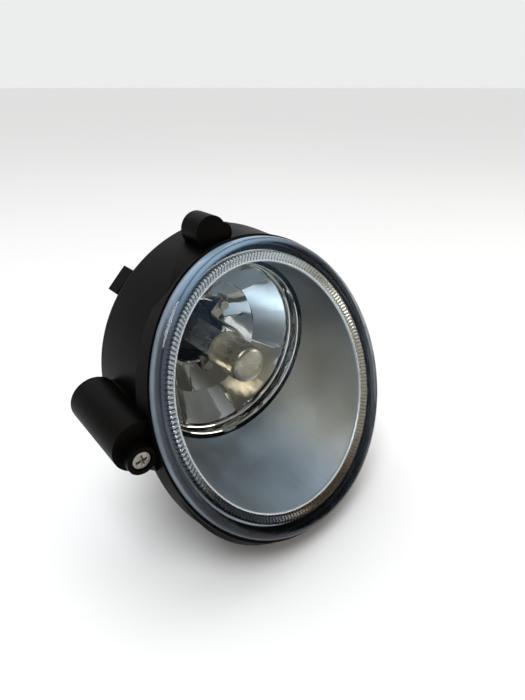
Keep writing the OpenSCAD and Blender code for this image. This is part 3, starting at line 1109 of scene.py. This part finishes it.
@dataclass
class AdjusterScrew:
    """The aiming screw with its cross recess and its thread."""

    axis: tuple[float, float] = (-50.0, -0.6)
    head_y: float = -6.5
    head_radius: float = 2.5
    head_height: float = 1.5
    shank_radius: float = 1.75
    thread_from: float = 3.0
    thread_to: float = 22.2
    pitch: float = 1.0
    recess: float = 0.95
    blade: float = 0.36

    def face(self, radius: float, angle: float) -> float:
        """Height of the head's face, with the cross pressed into it."""
        dome = self.head_y + 0.32 * (radius / self.head_radius) ** 2
        turn = radians(angle - 8.0)
        across, along = sorted((abs(radius * cos(turn)), abs(radius * sin(turn))))
        side = min(max((self.blade + 0.1 - across) / 0.16, 0.0), 1.0)
        end = min(max((1.65 - along) / 0.35, 0.0), 1.0)
        return dome + self.recess * side * end

    def section(self, angle: float) -> Section:
        """The section at one angle, from the face to the thread's end."""
        under = self.head_y + self.head_height
        points = [(r, self.face(r, angle)) for r in spaced(0.0, self.head_radius * 0.94, 26)]
        points += [(self.head_radius, self.head_y + 0.5), (self.head_radius, under)]
        points += [(self.shank_radius, under), (self.shank_radius, self.thread_from)]
        steps = int((self.thread_to - self.thread_from) / self.pitch * 8)
        for y in spaced(self.thread_from, self.thread_to, steps)[1:-1]:
            points.append((self.shank_radius - 0.28 * thread(y, angle, self.pitch), y))
        return points + [(self.shank_radius - 0.4, self.thread_to), (0, self.thread_to)]

    def build(self) -> None:
        """Makes and dresses the screw."""
        piece = lathe(
            "adjuster_screw_cross", self.section, 96, at=self.axis, closed=False, sharp=40.0
        )
        dress(piece, DULL_ZINC, "adjuster", "adjuster_screw")


@dataclass
class Inserts:
    """The brass inserts in the bosses, threaded inside."""

    places: tuple[tuple[float, float], ...] = ((-10.9, 45.0), (43.2, -16.8), (-17.6, -43.0))
    rear: float = 27.0
    length: float = 6.0
    outer: float = 3.0
    bore: float = 2.0
    pitch: float = 0.7

    def section(self, angle: float) -> Section:
        """One insert's section at one angle.

        Args:
            angle: The angle round the insert.

        Returns:
            Its (radius, y) points.
        """
        front, rim = self.rear - self.length, self.bore + 0.3
        points = [(self.outer, front), (self.outer, self.rear - 0.2)]
        points += [(self.outer - 0.2, self.rear), (rim, self.rear)]
        for y in spaced(self.rear - 0.3, front + 0.3, 64)[1:-1]:
            points.append((self.bore + 0.22 * thread(y, angle, self.pitch), y))
        return points + [(rim, front)]

    def build(self) -> None:
        """Makes and dresses all the inserts as one piece."""
        inserts = [lathe("insert", self.section, 48, at=p, sharp=40.0) for p in self.places]
        piece = join("threaded_inserts", inserts)
        dress(piece, BRASS, "lamp", "mount_inserts")


def rounded(half_a: float, half_b: float, corner: float, at_a: float, at_b: float = 0) -> Section:
    """The outline of a rectangle with round corners.

    Args:
        half_a: Half its first side.
        half_b: Half its second side.
        corner: The radius of its corners.
        at_a: Where its middle is, along the first side.
        at_b: The same along the second.

    Returns:
        Its points, in order.
    """
    points = []
    for quarter, (sa, sb) in enumerate(((1, 1), (-1, 1), (-1, -1), (1, -1))):
        for turn in spaced(pi / 2 * quarter, pi / 2 * (quarter + 1), 4):
            a = at_a + sa * (half_a - corner) + corner * cos(turn)
            points.append((a, at_b + sb * (half_b - corner) + corner * sin(turn)))
    return points


@dataclass
class BulbBase:
    """The twist-lock base with its grips, its lugs and the shroud of its plug socket."""

    grips: int = 24
    grip_depth: float = 0.55
    lug_angles: tuple[float, ...] = (90.0, 210.0, 330.0)
    socket_y: float = 74.0
    socket_tip: float = 30.0
    socket_floor: float = 18.0
    half_y: float = 5.0
    half_z: float = 8.0
    wall: float = 1.5

    def section(self, angle: float) -> Section:
        """The turned body's section at one angle, with grips on its rear part."""
        wave = 0.5 + 0.5 * cos(radians(angle * self.grips))
        cut = self.grip_depth * wave**2
        front = [(0, 56), (5, 56), (5, 50.5), (7.3, 50.5), (7.6, 50.8), (7.6, 56.4), (9.8, 56.4)]
        barrel = [(10.1, 56.7), (10.1, 65.8), (14.2, 65.8), (14.5, 66.1), (14.5, 67.7), (14.2, 68)]
        grip = [(11.4, 68), (11, 68.4), (11, 69.2), (11 - cut, 69.9), (11 - cut, 78.6)]
        grip.append((11 - cut / 2, 79.3))
        back = [(10.5, 79.9), (9, 80), (8.6, 79.8), (8.4, 79.3), (2, 79.2), (0, 79.2)]
        return front + barrel + grip + back

    def block(self, turn: Matrix, *outlines: tuple[float, Section]) -> Piece:
        """A bar along X with a (y, z) outline at each x, turned to its place."""
        loops = [[turn @ Vector((x, y, z)) for y, z in outline] for x, outline in outlines]
        return skin("block", loops, looped=False, sharp=40.0)

    def lug(self, angle: float) -> Piece:
        """One bayonet lug."""
        full, worn = rounded(1.1, 2.5, 0.25, 59.5), rounded(0.85, 2.25, 0.2, 59.5)
        turn = Matrix.Rotation(-radians(angle), 4, "Y")
        return self.block(turn, (9.4, full), (11.5, full), (11.75, worn))

    def shroud(self) -> Piece:
        """The hollow shroud that the plug goes into."""
        insets = ((0.0, 1.2), (0.25, 1.1), (self.wall, 0.6), (self.wall - 0.25, 0.7))
        outer, rolled, inner, flared = (
            rounded(self.half_y - inset, self.half_z - inset, corner, self.socket_y)
            for inset, corner in insets
        )
        tip = self.socket_tip
        places = [(4.0, outer), (tip - 0.3, outer), (tip, rolled), (tip, flared)]
        return self.block(Matrix(), *places, (tip - 0.4, inner), (self.socket_floor, inner))

    def rib(self, side: int) -> Piece:
        """A guide rib along the shroud."""
        outline = rounded(0.8, 0.5, 0.25, self.socket_y, side * (self.half_z + 0.1))
        return self.block(Matrix(), (9.0, outline), (28.4, outline))

    def latch(self) -> Piece:
        """The ramp that the plug's catch snaps over."""
        top = self.socket_y + self.half_y
        low, high = rounded(0.25, 2.2, 0.1, top), rounded(0.95, 2.2, 0.2, top)
        return self.block(Matrix(), (21.5, high), (24.0, high), (27.0, low))

    def build(self) -> None:
        """Makes and dresses the base as one piece."""
        body = lathe("body", self.section, self.grips * 6, closed=False)
        parts = [body, self.shroud(), self.latch(), self.rib(1), self.rib(-1)]
        parts += [self.lug(a) for a in self.lug_angles]
        piece = join("bulb_base_body", parts)
        dress(piece, BASE_PLASTIC, "bulb", "bulb_base")


@dataclass
class BreatherCap:
    """The rubber cap over the breather, gripped round its edge."""

    at: tuple[float, float] = (17.0, -22.0)
    radius: float = 4.2
    front: float = 52.2
    rear: float = 57.6
    inside: float = 2.7
    floor: float = 56.2
    grips: int = 16
    depth: float = 0.35

    def section(self, angle: float) -> Section:
        """The section at one angle.

        Args:
            angle: The angle round the cap.

        Returns:
            Its (radius, y) points.
        """
        full, rear = self.radius, self.rear
        r = full - self.depth * (0.5 + 0.5 * cos(radians(angle * self.grips)))
        inside = [(0, self.floor), (self.inside, self.floor), (self.inside, self.front)]
        wall = [(r - 0.2, self.front), (r, self.front + 0.3), (r, rear - 1.4)]
        crown = [(full - 0.4, rear - 0.7), (full - 1.1, rear - 0.15), (full - 1.9, rear)]
        return inside + wall + crown + [(1.0, rear - 0.1), (0, rear - 0.1)]

    def build(self) -> None:
        """Makes and dresses the cap."""
        count = self.grips * 6
        piece = lathe("breather_cap_grip", self.section, count, at=self.at, closed=False)
        dress(piece, BLACK_RUBBER, "lamp", "breather_cap")


@dataclass(frozen=True)
class CarriedOver:
    """The solids that are shown as they are, each with its finish and its slot."""

    solids: tuple[tuple[str, Surface, str], ...] = (
        ("housing", BLACK_PLASTIC, "black_plastic"),
        ("lens_adhesive", CURED_ADHESIVE, "adhesive"),
        ("pivot_bushes", NATURAL_NYLON, "natural_nylon"),
        ("pivot_pins", BRIGHT_STEEL, "steel_pin"),
        ("adjuster_arm", BRIGHT_STEEL, "steel_pin"),
        ("arm_rivets", SATIN_NICKEL, "rivet_metal"),
        ("adjuster_seal", BLACK_RUBBER, "black_rubber"),
        ("adjuster_clip", BRIGHT_STEEL, "steel_pin"),
        ("adjuster_nut", NATURAL_NYLON, "natural_nylon"),
        ("shield_rivets", SATIN_NICKEL, "rivet_metal"),
        ("bulb_glass", QUARTZ, "bulb_glass"),
        ("bulb_gasket", RED_SILICONE, "red_silicone"),
        ("bulb_terminals", TINNED_BRASS, "tin_blade"),
    )

    def build(self) -> None:
        """Dresses the solids."""
        for node, finish, slot in self.solids:
            paint(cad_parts[node], finish)


# ---- studio ----


@dataclass(frozen=True)
class Softbox:
    """One soft area light that faces the lamp."""

    name: str
    place: tuple[float, float, float]
    size: float
    power: float
    colour: tuple[float, float, float]

    def build(self) -> None:
        """Makes the light and turns it towards the lamp."""
        data = bpy.data.lights.new(self.name, "AREA")
        data.shape = "DISK"
        data.size = self.size
        data.energy = self.power
        data.color = self.colour
        light = put(self.name, data)
        light.location = self.place
        aim(light, -Vector(self.place))


@dataclass
class Studio:
    """The pale floor, the soft light and the camera."""

    eye: tuple[float, float, float] = (-89.47, -105.33, 82.16)
    azimuth: float = -38.01
    elevation: float = 26.94
    lens: float = 26.74
    floor_radius: float = 40.0
    lights: tuple[Softbox, ...] = (
        Softbox("key", (-0.3, -0.22, 0.75), 0.4, 4.0, (0.94, 0.97, 1.0)),
        Softbox("fill", (0.6, -0.5, 0.2), 0.35, 1.6, (1.0, 0.9, 0.78)),
    )

    def floor(self) -> None:
        """A wide pale floor that the lamp stands on."""
        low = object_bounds()[0].z - 0.05 * MM
        mesh = bpy.data.meshes.new("floor")
        ground = bmesh.new()
        bmesh.ops.create_circle(ground, cap_ends=True, radius=self.floor_radius, segments=64)
        ground.to_mesh(mesh)
        ground.free()
        sheet = put("floor", mesh)
        sheet.location.z = low
        paper = Finish(
            "pale_paper", (0.86, 0.86, 0.855), (0.85, 0.85, 0.85),
            roughness=0.9, grain_size=1.5, patch_size=400.0, specular=0.1,
        )
        mesh.materials.append(paper.build())
        sheet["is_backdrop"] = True

    def overhead(self) -> None:
        """Even soft light from above and behind, the same everywhere on the floor."""
        data = bpy.data.lights.new("overhead", "SUN")
        data.energy = 1.1
        data.angle = radians(70.0)
        aim(put("overhead", data), Vector((-0.05, -0.45, -0.9)))

    def sky(self) -> None:
        """Soft light from all round, pale at the horizon and darker high up in front."""
        world = bpy.data.worlds.new("studio")
        bpy.context.scene.world = world
        world.use_nodes = True
        graph = Graph(world.node_tree)
        direction = graph.node("ShaderNodeTexCoord", out="Generated")
        front = {0: direction, 1: (-0.53, -0.85, 0.0)}
        ahead = graph.node("ShaderNodeVectorMath", {"operation": "DOT_PRODUCT"}, front, "Value")
        dim = ahead.between(-0.25, 0.4) * graph.part(direction, 2).between(0.16, 0.5)
        tone = graph.mix(dim, (0.84, 0.845, 0.85), (0.11, 0.1, 0.085))
        world.node_tree.links.new(tone.socket, world.node_tree.nodes["Background"].inputs[0])

    def camera(self) -> None:
        """Sets the camera at its viewing angle."""
        data = bpy.data.cameras.new("camera")
        data.lens = self.lens
        data.sensor_width = 36.0
        data.clip_start, data.clip_end = 0.005, 100.0
        camera = put("camera", data)
        camera.location = Vector(self.eye) * MM
        a, e = radians(self.azimuth), radians(self.elevation)
        back = Vector((sin(a) * cos(e), -cos(a) * cos(e), sin(e)))
        aim(camera, -back)
        bpy.context.scene.camera = camera

    def build(self) -> None:
        """Sets up everything round the lamp."""
        bpy.context.scene.view_settings.view_transform = "Standard"
        self.camera()
        self.sky()
        self.overhead()
        for light in self.lights:
            light.build()
        self.floor()


def main() -> None:
    logging.basicConfig(level=logging.INFO, format="%(message)s")
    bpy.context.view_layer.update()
    seat = LensFrame()
    assemblies: tuple[Any, ...] = (
        Lens(seat), FlutedRing(seat), Bezel(seat), Reflector(), Ears(), BulbShield(), Filament(),
        AdjusterScrew(), Inserts(), BulbBase(), BreatherCap(), CarriedOver(), Studio(),
    )
    for assembly in assemblies:
        assembly.build()


if __name__ == "__main__":
    main()
